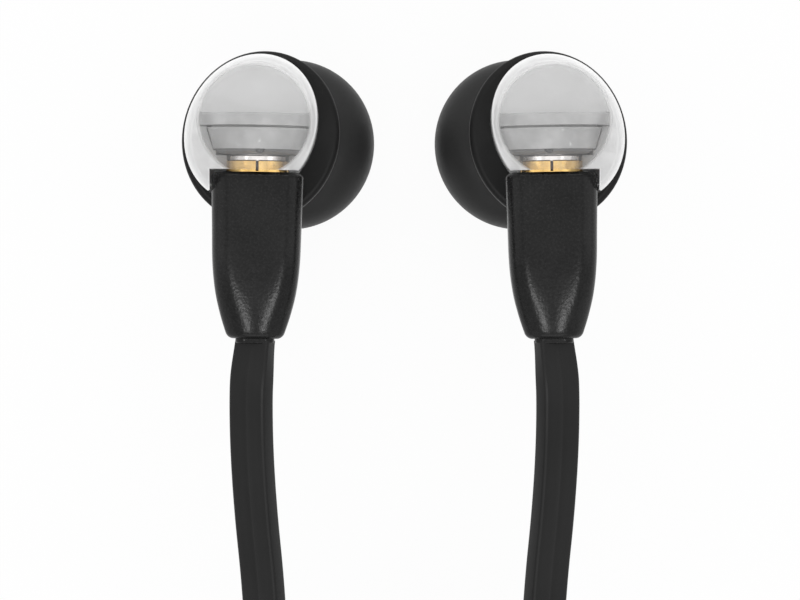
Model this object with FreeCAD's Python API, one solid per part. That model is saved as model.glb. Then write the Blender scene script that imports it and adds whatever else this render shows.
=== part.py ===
import FreeCAD, Part

import math
import os

# Wired earphones lying on a table, ear tips down and clear rear shells up, in millimetres.
# The picture's right is +X, the picture's top is +Y and up is +Z. The left side is modelled in a
# frame of its own, with Y up along its stem, and the right side is its mirror image.

V = FreeCAD.Vector

# Places of the two sides on the table
side_spacing_half = 10.90
stem_lean_deg = 0.94
stem_y = 5.173

# Clear rear shell: half of an egg over a straight skirt
shell_half_length = 5.71
shell_half_width = 4.79
shell_turn_deg = 26.0
shell_centre_x = -0.56
skirt_depth = 4.0
hollow_radius = 4.33
hollow_x = -0.27
hollow_y = 0.59
swivel_gap = 0.3
swivel_side_gap = 0.1

# Pale back plate with its raised bed, and black front housing
plate_thickness = 0.5
plate_inset = 0.12
skirt_wall = 0.45
bed_top = -0.6
bed_gap = 0.08
collar_half_length = 6.51
collar_half_width = 5.90
collar_turn_deg = 15.4
collar_x = 0.08
collar_y = -0.54
collar_thickness = 2.6
collar_edge = 0.45
blend_inset = 0.1

# Nozzle, on an axis that leans toward the pair's middle
nozzle_lean_deg = 15.5
nozzle_swing_deg = -9.9
nozzle_root_depth = 5.6
nozzle_radius = 2.5
nozzle_bore = 1.8
nozzle_start = 4.2
nozzle_end = 9.6
lip_height = 0.2
lip_length = 0.8
neck_flare = 0.3
mesh_thickness = 0.25
mesh_seat = 0.33
mesh_fit = 0.02

# Ear tip, a silicone bulb on the nozzle: radii and distances along the nozzle's axis
tip_radius = 6.40
tip_wall = 0.6
tip_core_wall = 0.7
tip_fit = 0.07
tip_back = 5.0
tip_back_radius = 4.6
tip_widest = 8.0
tip_front = 11.94
tip_front_radius = 3.6
tip_front_edge = 0.3
tip_sound_hole = 1.9
tip_core_start = 0.25
tip_web = 1.3
tip_stop = 0.15

# Driver, round its own centre behind the back plate
driver_x = -0.35
driver_y = -0.15
driver_radius = 4.0
driver_depth = 3.0
driver_wall = 0.35
funnel_step = 1.0
magnet_radius = 2.6
magnet_height = 0.9
yoke_wall = 0.3
coil_radius = 3.05
coil_wall = 0.15
coil_height = 0.9
diaphragm_thickness = 0.1
driver_gap = 0.12

# Socket inside the rear shell
flange_radius = 4.22
flange_top = 1.07
flange_bottom = 0.15
flange_chamfer = 0.12
cup_radius_top = 3.84
cup_radius_bottom = 3.34
cup_bottom = -1.60
cup_neck = 0.35
cup_neck_step = 0.35
edge_break = 0.08
cup_bore = 1.56
cup_bore_top = -0.55
gasket_radius = 3.15
gasket_bottom = -1.98

# Plug-in connector on the boot
sleeve_radius = 2.09
sleeve_top = -2.06
sleeve_step = 0.3
nose_radius = 1.50
nose_top = -0.75
nose_edge = 0.15
insulator_set_back = 0.3
sleeve_bore = 1.1
barrel_radius = 2.34
barrel_top = -2.43
barrel_slot = 0.22
barrel_slot_floor = 0.05
shank_sink = 0.9
pin_radius = 0.32
pin_point = 0.12
fit_gap = 0.08

# Boot: width and depth at each station below its top
boot_top = -3.30
boot_bottom = -15.72
boot_stations = (
    (0.0, 6.86, 4.74),
    (4.2, 6.66, 4.66),
    (6.9, 6.50, 4.56),
    (9.0, 6.02, 4.34),
    (10.8, 5.16, 3.94),
    (12.42, 4.10, 3.40),
)
boot_corner_share = 0.33
boot_top_edge = 0.45
boot_end_edge = 0.35
boot_lip_width = 2.9
boot_lip_depth = 2.3
boot_lip_length = 0.35

# Flat cable and its two put-away coils, each with two layers
ribbon_width = 3.1
ribbon_thickness = 1.4
ribbon_edge = 0.2
turn_pitch = 1.85
legs_turn_pitch = 1.9
layer_pitch = 3.55
legs_coil_y = -59.2
legs_coil_exit_radius = 17.83
legs_coil_turns_in = 1.25
right_leg_more_turns = 0.20
legs_dip = 0.8
main_coil_y = -100.9
main_coil_start_radius = legs_coil_exit_radius + legs_turn_pitch / 2
main_turns_in = 4.0
main_turns_out = 3.875
main_coil_exit_radius = main_coil_start_radius - turn_pitch * (main_turns_in - main_turns_out)
main_dip = 0.6
tuck_clearance = 0.6

# Ties round the coils, which rest on them
tie_width = 5.0
tie_thickness = 0.48
tie_gap = 0.12
tie_round = 0.9
legs_tie_deg = 225
main_tie_deg = 90
coil_floor = tie_thickness + tie_gap

# Splitter between the coils
splitter_length = 13.0
splitter_width = 5.4
splitter_height = 4.2
splitter_y = -82.4
splitter_round = 1.2
splitter_rim = 0.5

# Plug for a 3.5 mm socket
plug_radius = 2.9
plug_x = 23.2
plug_start_y = -97.0
relief_length = 7.0
relief_start_radius = 2.0
relief_end_radius = 2.5
relief_grooves = 5
groove_width = 0.5
groove_depth = 0.35
cover_length = 15.0
cover_edge = 0.5
grip_grooves = 4
grip_groove_width = 0.45
grip_groove_depth = 0.2
grip_groove_pitch = 1.1
jack_radius = 1.75
jack_length = 14.0
insulator_length = 0.4
ring_length = 2.6
tip_length = 4.0
tip_shoulder = 0.9
tip_waist_radius = 1.3
tip_waist_at = 1.75
tip_ball_radius = 1.61
tip_ball_at = 2.45
tip_end_radius = 0.53
jack_core_radius = 1.0

# Routes of the free stretches, chosen by hand
left_leg_route = (
    (-11.163, -10.895, 18.066),
    (-11.42, -14.60, 17.75),
    (-11.50, -19.20, 16.40),
    (-11.25, -24.00, 14.20),
    (-10.85, -28.20, 12.40),
    (-10.50, -32.40, 10.60),
    (-11.90, -37.40, 8.90),
    (-15.00, -42.20, 7.50),
    (-18.10, -47.50, 6.45),
    (-19.73, -53.30, 5.80),
    (-19.73, -59.20, 5.70),
)
right_leg_route = (
    (11.163, -10.895, 18.066),
    (11.42, -14.60, 17.75),
    (11.50, -19.20, 16.40),
    (11.25, -24.00, 14.20),
    (10.85, -28.20, 12.40),
    (10.50, -32.33, 10.60),
    (9.05, -36.20, 9.20),
    (6.18, -39.00, 7.80),
    (2.43, -40.50, 6.70),
    (-1.90, -40.50, 5.90),
    (-5.745, -41.520, 5.70),
)
main_tail_route = (
    (13.116, -114.016, 5.70),
    (16.64, -110.61, 5.64),
    (20.90, -106.30, 4.50),
    (23.00, -101.70, 3.15),
    (23.20, -97.00, 2.90),
)

parts_made = {}


def save(name, shape):
    """Keeps one named piece and writes its file."""
    parts_made[name] = shape
    shape.exportStep(os.path.join("parts", name + ".step"))


def disc(radius, low, high):
    """A cylinder round the stem, between two heights along Y."""
    return Part.makeCylinder(radius, high - low, V(0, low, 0), V(0, 1, 0))


def turned(outline):
    """A body of revolution about the stem from (radius, y) points."""
    points = [V(radius, y, 0) for radius, y in outline]
    face = Part.Face(Part.makePolygon(points + points[:1]))
    return face.revolve(V(0, 0, 0), V(0, 1, 0), 360)


def oval(half_length, half_width, turn_deg, x, y, z):
    """A level oval whose long way is turned clockwise from the stem."""
    angle = math.radians(90 - turn_deg)
    long_way = V(math.cos(angle), math.sin(angle), 0)
    across = V(-math.sin(angle), math.cos(angle), 0)
    centre = V(x, y, z)
    ellipse = Part.Ellipse(centre + long_way * half_length, centre + across * half_width, centre)
    return Part.Wire(ellipse.toShape())


def oval_block(half_length, half_width, turn_deg, x, y, low, high):
    """A solid with an oval plan between two depths."""
    face = Part.Face(oval(half_length, half_width, turn_deg, x, y, low))
    return face.extrude(V(0, 0, high - low))


def axis_frame():
    """Root and direction of the nozzle's axis."""
    lean = math.radians(nozzle_lean_deg)
    swing = math.radians(nozzle_swing_deg)
    way = V(math.sin(lean) * math.cos(swing), math.sin(lean) * math.sin(swing), -math.cos(lean))
    return V(collar_x, collar_y, -nozzle_root_depth), way


def on_axis(shape):
    """Moves a shape made round +Z at the origin to the nozzle's axis."""
    root, way = axis_frame()
    moved = shape.copy()
    moved.Placement = FreeCAD.Placement(root, FreeCAD.Rotation(V(0, 0, 1), way))
    return moved


def axis_tube(outer, inner, start, end):
    """A tube round the nozzle's axis, solid when inner is nothing."""
    tube = Part.makeCylinder(outer, end - start, V(0, 0, start))
    if inner:
        bore = Part.makeCylinder(inner, end - start + 2, V(0, 0, start - 1))
        tube = tube.cut(bore)
    return on_axis(tube)


def boot_reach():
    """How far the boot's rounded corners reach from the stem."""
    width, depth = boot_stations[0][1:]
    corner = boot_corner_share * depth
    return math.hypot(width / 2 - corner, depth / 2 - corner) + corner


def stem_room():
    """The room that the shell and its bed leave round the stem, for the boot and the connector."""
    seat = boot_top + swivel_gap / 2
    reach = boot_reach() + swivel_side_gap
    half_width = boot_stations[0][1] / 2 + swivel_side_gap
    length = 2 * shell_half_length
    swing = disc(reach, seat - length, seat)
    over = Part.makeBox(2 * half_width, length, length, V(-half_width, seat - length, 0))
    hole = disc(barrel_radius + fit_gap, seat - length, barrel_top + fit_gap)
    return swing.fuse([over, hole])


def rear_shell():
    """Half of an egg over a thin skirt, hollowed, and notched where the boot comes up."""
    start = V(-shell_half_length, 0, 0)
    end = V(shell_half_length, 0, 0)
    curve = Part.Ellipse(V(0, 0, 0), shell_half_length, shell_half_width)
    arc = Part.Edge(Part.ArcOfEllipse(curve, 0, math.pi))
    face = Part.Face(Part.Wire([arc, Part.makeLine(start, end)]))
    egg = face.revolve(V(0, 0, 0), V(1, 0, 0), 180)
    turn = FreeCAD.Rotation(V(0, 0, 1), 90 - shell_turn_deg)
    egg.Placement = FreeCAD.Placement(V(shell_centre_x, 0, 0), turn)
    skirt = shell_oval(0, -skirt_depth, 0)
    centre = V(hollow_x, hollow_y, bed_top)
    dome = Part.makeSphere(hollow_radius, V(hollow_x, hollow_y, 0))
    below = Part.makeBox(40, 40, 20, V(-20, -20, bed_top - 20))
    well = Part.makeCylinder(hollow_radius, -bed_top, centre)
    inside = shell_oval(skirt_wall, -skirt_depth, bed_top)
    hollow = dome.cut(below).fuse([well, inside])
    return egg.fuse(skirt).cut(hollow.fuse(stem_room())).removeSplitter()


def shell_oval(inset, low, high):
    """A solid with the rear shell's plan, drawn in by an inset, between two heights."""
    length = shell_half_length - inset
    width = shell_half_width - inset
    return oval_block(length, width, shell_turn_deg, shell_centre_x, 0, low, high)


def back_plate():
    """The pale plate that closes the rear shell, with a raised bed that the socket lies in."""
    plate = shell_oval(plate_inset, -skirt_depth - plate_thickness, -skirt_depth)
    bed = shell_oval(skirt_wall + bed_gap, -skirt_depth, bed_top)
    trough = turned(
        (
            (0, flange_bottom),
            (cup_radius_top + bed_gap, flange_bottom),
            (cup_radius_top + bed_gap, flange_bottom - cup_neck),
            (cup_radius_bottom + bed_gap, cup_bottom - bed_gap),
            (gasket_radius + bed_gap, cup_bottom - bed_gap),
            (gasket_radius + bed_gap, gasket_bottom - bed_gap),
            (barrel_radius + bed_gap, gasket_bottom - bed_gap),
            (barrel_radius + bed_gap, boot_top),
            (0, boot_top),
        )
    )
    height = flange_top - flange_bottom + 2 * bed_gap
    start = V(hollow_x, flange_bottom - bed_gap, 0)
    band = Part.makeCylinder(flange_radius + bed_gap, height, start, V(0, 1, 0))
    room = flat_behind(trough.fuse([band, stem_room()]))
    return plate.fuse(bed.cut(room)).removeSplitter()


def front_housing():
    """Oval collar, a blend to the nozzle, the nozzle with its lip, and the driver's cavity."""
    top = -skirt_depth - plate_thickness
    low = top - collar_thickness
    collar = oval_block(
        collar_half_length, collar_half_width, collar_turn_deg, collar_x, collar_y, low, top
    )
    rims = [edge for edge in collar.Edges if abs(edge.BoundBox.ZLength) < 0.01]
    collar = collar.makeFillet(collar_edge, rims)
    root, way = axis_frame()
    wide = oval(
        collar_half_length - collar_edge - blend_inset,
        collar_half_width - collar_edge - blend_inset,
        collar_turn_deg,
        collar_x,
        collar_y,
        low,
    )
    neck_place = root + way * nozzle_start
    neck = Part.Wire(Part.Circle(neck_place, way, nozzle_radius + neck_flare).toShape())
    blend = Part.makeLoft([wide, neck], True, True)
    nozzle = axis_tube(nozzle_radius, 0, nozzle_start - 1, nozzle_end)
    lip_low = nozzle_end - lip_length
    lip = axis_tube(nozzle_radius + lip_height, 0, lip_low, nozzle_end)
    outside = collar.fuse([blend, nozzle, lip])
    room = driver_radius + driver_gap
    floor = top - driver_depth - driver_gap
    centre = V(driver_x, driver_y, floor)
    cavity = Part.makeCylinder(room, driver_depth + driver_gap, centre)
    funnel_wide = Part.Wire(Part.Circle(centre, V(0, 0, -1), room - funnel_step).toShape())
    funnel_end = root + way * (nozzle_start + neck_flare)
    funnel_neck = Part.Wire(Part.Circle(funnel_end, way, nozzle_bore).toShape())
    funnel = Part.makeLoft([funnel_wide, funnel_neck], True, True)
    bore = axis_tube(nozzle_bore, 0, nozzle_start, nozzle_end + 1)
    seat_radius = nozzle_bore + mesh_seat + mesh_fit
    seat = axis_tube(seat_radius, 0, nozzle_end - mesh_thickness, nozzle_end + 1)
    return outside.cut(cavity.fuse([funnel, bore, seat]))


def nozzle_mesh():
    """The round screen let into the nozzle's end."""
    return axis_tube(nozzle_bore + mesh_seat, 0, nozzle_end - mesh_thickness, nozzle_end)


def bulge(widest, widest_at, radius, at):
    """The arc that starts straight along the axis at its widest and ends at a smaller radius."""
    rise = at - widest_at
    centre = (widest ** 2 - radius ** 2 - rise ** 2) / (2 * (widest - radius))
    half = math.atan2(rise, radius - centre) / 2
    size = widest - centre
    middle = V(centre + size * math.cos(half), 0, widest_at + size * math.sin(half))
    return Part.Arc(V(widest, 0, widest_at), middle, V(radius, 0, at)).toShape()


def ear_tip():
    """A silicone bulb: a core tube on the nozzle, joined at the front to a skirt open behind."""
    bore = nozzle_radius + lip_height + tip_fit
    core = bore + tip_core_wall
    core_start = nozzle_start + tip_core_start
    web = tip_front - tip_web
    stop = nozzle_end + tip_stop
    inner = tip_radius - tip_wall
    inner_back = tip_back_radius - tip_wall
    edges = [
        bulge(tip_radius, tip_widest, tip_back_radius, tip_back),
        bulge(tip_radius, tip_widest, tip_front_radius, tip_front),
        bulge(inner, tip_widest, inner_back, tip_back),
        bulge(inner, tip_widest, core, web),
    ]
    path = (
        (tip_front_radius, tip_front),
        (tip_sound_hole, tip_front),
        (tip_sound_hole, stop),
        (bore, stop),
        (bore, core_start),
        (core, core_start),
        (core, web),
    )
    corners = [V(radius, 0, at) for radius, at in path]
    edges += [Part.makeLine(a, b) for a, b in zip(corners, corners[1:])]
    edges.append(Part.makeLine(V(inner_back, 0, tip_back), V(tip_back_radius, 0, tip_back)))
    outline = Part.Face(Part.Wire(Part.__sortEdges__(edges)))
    body = outline.revolve(V(0, 0, 0), V(0, 0, 1), 360)
    rims = [
        edge
        for edge in body.Edges
        if isinstance(edge.Curve, Part.Circle)
        and abs(edge.Curve.Radius - tip_front_radius) < 0.01
        and abs(edge.Curve.Center.z - tip_front) < 0.01
    ]
    return on_axis(body.makeFillet(tip_front_edge, rims))


def driver_pieces():
    """The dynamic driver that sits in the front housing, face to the nozzle."""
    top = -skirt_depth - plate_thickness - driver_gap / 2
    base = top - driver_depth

    def ring(outer, inner, low, high):
        body = Part.makeCylinder(outer, high - low, V(driver_x, driver_y, low))
        if inner:
            body = body.cut(Part.makeCylinder(inner, high - low, V(driver_x, driver_y, low)))
        return body

    yoke_radius = coil_radius + coil_wall + yoke_wall
    plate = ring(driver_radius, yoke_radius, top - driver_wall, top)
    wall = ring(driver_radius, driver_radius - driver_wall, base, top)
    frame = plate.fuse(wall)
    yoke = ring(yoke_radius, 0, top - yoke_wall, top)
    yoke = yoke.fuse(ring(yoke_radius, yoke_radius - yoke_wall, top - yoke_wall - magnet_height, top))
    magnet_top = top - yoke_wall
    magnet = ring(magnet_radius, 0, magnet_top - magnet_height, magnet_top)
    cone_top = base + driver_wall + diaphragm_thickness
    voice_coil = ring(coil_radius, coil_radius - coil_wall, cone_top, cone_top + coil_height)
    film = ring(driver_radius - driver_wall, 0, cone_top - diaphragm_thickness, cone_top)
    return {
        "driver_frame": frame,
        "driver_yoke": yoke,
        "driver_magnet": magnet,
        "voice_coil": voice_coil,
        "diaphragm": film,
    }


def flat_behind(shape):
    """Cuts a round socket piece flat where it stands on the back plate."""
    slab = Part.makeBox(30, 30, 10, V(-15, -15, -skirt_depth - 10))
    return shape.cut(slab)


def socket_flange():
    """The band across the dome that carries the socket."""
    centre = V(hollow_x, flange_bottom, 0)
    body = Part.makeCylinder(flange_radius, flange_top - flange_bottom, centre, V(0, 1, 0))
    top_edge = [edge for edge in body.Edges if abs(edge.BoundBox.YMin - flange_top) < 0.01]
    body = body.makeChamfer(flange_chamfer, [edge for edge in top_edge if edge.BoundBox.YLength < 0.01])
    return flat_behind(body)


def socket_cup():
    """The tapered puck with a neck up to the flange and a bore for the connector's nose."""
    outline = (
        (0, flange_bottom),
        (cup_radius_top - cup_neck_step, flange_bottom),
        (cup_radius_top - cup_neck_step, flange_bottom - cup_neck / 2),
        (cup_radius_top, flange_bottom - cup_neck / 2),
        (cup_radius_top - edge_break, flange_bottom - cup_neck),
        (cup_radius_bottom, cup_bottom),
        (cup_bore, cup_bottom),
        (cup_bore, cup_bore_top),
        (0, cup_bore_top),
    )
    return flat_behind(turned(outline))


def socket_gasket():
    """The dark ring on the lower face of the cup."""
    outline = (
        (cup_bore, cup_bottom),
        (gasket_radius, cup_bottom),
        (gasket_radius, gasket_bottom + edge_break),
        (gasket_radius - edge_break, gasket_bottom),
        (cup_bore, gasket_bottom),
    )
    return turned(outline)


def connector_sleeve():
    """The silver sleeve and its nose, which enters the cup."""
    low = boot_top - shank_sink
    outline = (
        (sleeve_bore, low),
        (sleeve_radius - sleeve_step, low),
        (sleeve_radius - sleeve_step, barrel_top),
        (sleeve_radius, barrel_top),
        (sleeve_radius, sleeve_top - edge_break),
        (sleeve_radius - edge_break, sleeve_top),
        (nose_radius, sleeve_top),
        (nose_radius, nose_top - nose_edge),
        (nose_radius - nose_edge, nose_top),
        (sleeve_bore, nose_top),
    )
    return turned(outline)


def connector_barrel():
    """The gold barrel on the boot's top, slotted toward the viewer."""
    inner = sleeve_radius - sleeve_step
    outline = (
        (inner, boot_top),
        (barrel_radius, boot_top),
        (barrel_radius, barrel_top - edge_break),
        (barrel_radius - edge_break, barrel_top),
        (inner, barrel_top),
    )
    corner = V(-barrel_slot / 2, boot_top + barrel_slot_floor, 0)
    slot = Part.makeBox(barrel_slot, barrel_top - boot_top, 2 * barrel_radius, corner)
    return turned(outline).cut(slot)


def connector_insulator():
    """The insulator between sleeve and pin."""
    low = boot_top - shank_sink
    outline = (
        (pin_radius, low),
        (sleeve_bore, low),
        (sleeve_bore, nose_top - insulator_set_back),
        (pin_radius, nose_top - insulator_set_back),
    )
    return turned(outline)


def connector_pin():
    """The centre pin."""
    low = boot_top - shank_sink
    outline = (
        (0, low),
        (pin_radius, low),
        (pin_radius, nose_top - pin_point),
        (pin_radius - pin_point, nose_top),
        (0, nose_top),
    )
    return turned(outline)


def rounded_section(width, depth, y):
    """A rounded rectangle square to the stem."""
    corner = boot_corner_share * depth
    x = width / 2
    z = depth / 2
    bend = corner * (1 - math.sqrt(0.5))
    edges = []
    for a, b in ((1, 1), (-1, 1), (-1, -1), (1, -1)):
        first = V(a * x, y, b * (z - corner))
        middle = V(a * (x - bend), y, b * (z - bend))
        last = V(a * (x - corner), y, b * z)
        ends = (first, last) if a * b > 0 else (last, first)
        edges.append((ends[0], middle, ends[1]))
    lines = []
    for this, following in zip(edges, edges[1:] + edges[:1]):
        lines.append(Part.Arc(this[0], this[1], this[2]).toShape())
        lines.append(Part.makeLine(this[2], following[0]))
    return Part.Wire(lines)


def boot():
    """A rounded rectangular boot drawn in at its lower end, with a small lip round the cable."""
    sections = [rounded_section(width, depth, boot_top - at) for at, width, depth in boot_stations]
    upper = Part.makeLoft(sections[:3], True, True)
    lower = Part.makeLoft(sections[2:], True, False)
    body = upper.fuse(lower)
    lip_section = rounded_section(boot_lip_width, boot_lip_depth, boot_bottom)
    lip = Part.Face(lip_section).extrude(V(0, -boot_lip_length, 0))
    pocket = disc(sleeve_radius - sleeve_step, boot_top - shank_sink, boot_top + 1)
    top_rims = [edge for edge in body.Edges if edge.BoundBox.YMin > boot_top - 0.01]
    body = body.makeFillet(boot_top_edge, top_rims)
    end_rims = [edge for edge in body.Edges if edge.BoundBox.YMax < boot_bottom + 0.01]
    body = body.makeFillet(boot_end_edge, end_rims)
    return body.fuse(lip).cut(pocket)


def earphone_pieces():
    """Every piece of one earphone, in its own frame."""
    pieces = {
        "rear_shell": rear_shell(),
        "back_plate": back_plate(),
        "front_housing": front_housing(),
        "nozzle_mesh": nozzle_mesh(),
        "ear_tip": ear_tip(),
        "socket_flange": socket_flange(),
        "socket_cup": socket_cup(),
        "socket_gasket": socket_gasket(),
        "connector_sleeve": connector_sleeve(),
        "connector_barrel": connector_barrel(),
        "connector_insulator": connector_insulator(),
        "connector_pin": connector_pin(),
        "boot": boot(),
    }
    pieces.update(driver_pieces())
    return pieces


def arc_by_tangent(start, way, end):
    """The edge that leaves start along way and reaches end on one arc."""
    chord = end - start
    along = chord.dot(way)
    side = chord - way * along
    if side.Length < 1e-6:
        return Part.makeLine(start, end)
    radius = chord.Length ** 2 / (2 * side.Length)
    centre = start + side * (radius / side.Length)
    to_middle = (start + end) * 0.5 - centre
    sign = 1 if along >= 0 else -1
    middle = centre + to_middle * (sign * radius / to_middle.Length)
    return Part.Arc(start, middle, end).toShape()


def biarc(start, start_way, end, end_way):
    """Two arcs that leave start along start_way, meet, and reach end along end_way."""
    chord = end - start
    both = start_way + end_way
    spread = 2 * (1 - start_way.dot(end_way))
    lean = chord.dot(both)
    if spread < 1e-9:
        reach = chord.dot(chord) / (4 * chord.dot(end_way))
    else:
        reach = (math.sqrt(lean ** 2 + spread * chord.dot(chord)) - lean) / spread
    meeting = (start + start_way * reach + end - end_way * reach) * 0.5
    first = arc_by_tangent(start, start_way, meeting)
    second = arc_by_tangent(end, end_way * -1, meeting)
    return [first, second.reversed() if hasattr(second, "reversed") else second]


def coil_stops(centre_y, exit_angle, exit_radius, pitch, turns_in, turns_out, dip, low_first):
    """Quarter-turn places and directions of a coil that spirals in, changes layer and comes out."""
    growth = pitch / (2 * math.pi)
    low = coil_floor + ribbon_width / 2
    high = low + layer_pitch
    first_z, last_z = (low, high) if low_first else (high, low)
    inner = exit_radius - pitch * turns_out
    tuck = pitch / 2 + ribbon_thickness - turn_pitch + tuck_clearance
    end = exit_angle
    climb_end = end - 2 * math.pi * turns_out
    climb_start = climb_end - math.pi
    start = climb_start - 2 * math.pi * turns_in
    stops = []

    def add(angle, radius, radius_slope, z, z_slope):
        outward = V(math.cos(angle), math.sin(angle), 0)
        onward = V(-math.sin(angle), math.cos(angle), 0)
        place = V(0, centre_y, z) + outward * radius
        way = outward * radius_slope + onward * radius + V(0, 0, z_slope)
        stops.append((place, way.normalize()))

    steps = max(1, round(turns_in * 4))
    for i in range(steps + 1):
        angle = start + (climb_start - start) * i / steps
        tucked = tuck if i == steps else 0
        add(angle, inner - tucked + growth * (climb_start - angle), -growth - tucked, first_z, 0)
    middle_z = (first_z + last_z) / 2
    add(climb_start + math.pi / 2, inner - tuck - dip, 0, middle_z, 1.5 * (last_z - first_z) / math.pi)
    steps = max(1, math.ceil(turns_out * 4 - 1e-6))
    for i in range(steps + 1):
        angle = climb_end + (end - climb_end) * i / steps
        tucked = tuck if i == 0 else 0
        add(angle, inner - tucked + growth * (angle - climb_end), growth + tucked, last_z, 0)
    return stops


def coil_wire(stops):
    """One wire of biarcs through the coil's stops."""
    edges = []
    for (start, start_way), (end, end_way) in zip(stops, stops[1:]):
        edges += biarc(start, start_way, end, end_way)
    return Part.Wire(edges)


def route_wire(points):
    """Straight runs joined by arcs as large as the runs allow, and the least radius."""
    corners = [V(*point) for point in points]
    edges = []
    radii = []
    last = corners[0]
    for before, here, after in zip(corners, corners[1:], corners[2:]):
        back = before - here
        on = after - here
        shorter = min(back.Length, on.Length)
        half_turn = (math.pi - back.getAngle(on)) / 2
        cut_back = 0.45 * shorter
        radii.append(cut_back / math.tan(half_turn))
        start = here + back * (cut_back / back.Length)
        end = here + on * (cut_back / on.Length)
        edges.append(Part.LineSegment(last, start).toShape())
        edges.append(arc_by_tangent(start, (here - before).normalize(), end))
        last = end
    edges.append(Part.LineSegment(last, corners[-1]).toShape())
    return Part.Wire(edges), radii


def ribbon_profile(place, way):
    """The flat cable's section on edge, with its corners cut off, square to its way."""
    side = way.cross(V(0, 0, 1)).normalize()
    up = side.cross(way).normalize()
    x = ribbon_thickness / 2
    z = ribbon_width / 2
    e = ribbon_edge
    corners = (
        (x - e, z),
        (x, z - e),
        (x, e - z),
        (x - e, -z),
        (e - x, -z),
        (-x, e - z),
        (-x, z - e),
        (e - x, z),
    )
    points = [place + side * a + up * b for a, b in corners]
    return Part.makePolygon(points + points[:1])


section_area = ribbon_width * ribbon_thickness - 2 * ribbon_edge ** 2


def ribbon_along(name, wire, way, upright):
    """Sweeps the flat cable along a wire, kept on edge where asked, and checks its volume."""
    start = wire.OrderedVertexes[0].Point if wire.OrderedVertexes else wire.Vertexes[0].Point
    sweep = Part.BRepOffsetAPI.MakePipeShell(wire)
    if upright:
        sweep.setBiNormalMode(V(0, 0, 1))
    sweep.add(ribbon_profile(start, way), False, False)
    sweep.build()
    sweep.makeSolid()
    body = sweep.shape()
    share = body.Volume / (section_area * wire.Length)
    print(name, "length", round(wire.Length, 1), "volume share", round(share, 4))
    return body


def ribbon_route(name, points):
    """One free stretch of the flat cable."""
    way = (V(*points[1]) - V(*points[0])).normalize()
    if len(points) == 2:
        wire = Part.Wire([Part.LineSegment(V(*points[0]), V(*points[1])).toShape()])
    else:
        wire, radii = route_wire(points)
        print(name, "radii", [round(radius, 1) for radius in radii])
    return ribbon_along(name, wire, way, False), wire.Length


def least_gap(wires):
    """The least gap between turns, from points at equal angles round the coil's centre."""
    columns = {}
    for name, (wire, centre_y) in wires.items():
        angle_before = None
        turn = 0.0
        for point in wire.discretize(Number=3000):
            angle = math.atan2(point.y - centre_y, point.x)
            if angle_before is not None and angle_before - angle > math.pi:
                turn += 2 * math.pi
            angle_before = angle
            column = round((angle % (2 * math.pi)) / (2 * math.pi) * 180) % 180
            radius = math.hypot(point.x, point.y - centre_y)
            step = round((angle + turn) / math.pi * 3)
            columns.setdefault(column, {}).setdefault((name, step), []).append((radius, point.z))
    least = 99.0
    for rows in columns.values():
        keys = list(rows)
        for i, one in enumerate(keys):
            for two in keys[i + 1:]:
                if one[0] == two[0] and abs(one[1] - two[1]) < 4:
                    continue
                for r1, z1 in rows[one]:
                    for r2, z2 in rows[two]:
                        beside = max(0.0, abs(r1 - r2) - ribbon_thickness)
                        above = max(0.0, abs(z1 - z2) - ribbon_width)
                        least = min(least, math.hypot(beside, above))
    return least


def plug_turned(outline, x, y, z):
    """A body of revolution along +Y from (radius, y) points, set at a place."""
    body = turned(outline)
    body.translate(V(x, y, z))
    return body


def relief_outline():
    """A soft taper with rounds of grooves that let it bend."""
    slope = (relief_end_radius - relief_start_radius) / relief_length
    outline = [(0, 0), (relief_start_radius, 0)]
    pitch = relief_length / (relief_grooves + 1)
    for i in range(relief_grooves):
        start = pitch * (i + 1) - groove_width / 2
        end = start + groove_width
        outline.append((relief_start_radius + slope * start, start))
        outline.append((relief_start_radius + slope * start - groove_depth, start))
        outline.append((relief_start_radius + slope * end - groove_depth, end))
        outline.append((relief_start_radius + slope * end, end))
    outline += [(relief_end_radius, relief_length), (0, relief_length)]
    return outline


def cover_outline():
    """The plug's grip: a cylinder with rounds of grip grooves near its cable end."""
    start = relief_length
    end = start + cover_length
    outline = [(0, start), (plug_radius - cover_edge, start), (plug_radius, start + cover_edge)]
    for i in range(grip_grooves):
        low = start + 2 * cover_edge + grip_groove_pitch * (i + 0.5)
        outline.append((plug_radius, low))
        outline.append((plug_radius - grip_groove_depth, low))
        outline.append((plug_radius - grip_groove_depth, low + grip_groove_width))
        outline.append((plug_radius, low + grip_groove_width))
    outline += [(plug_radius, end - cover_edge), (plug_radius - cover_edge, end), (0, end)]
    return outline


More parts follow.
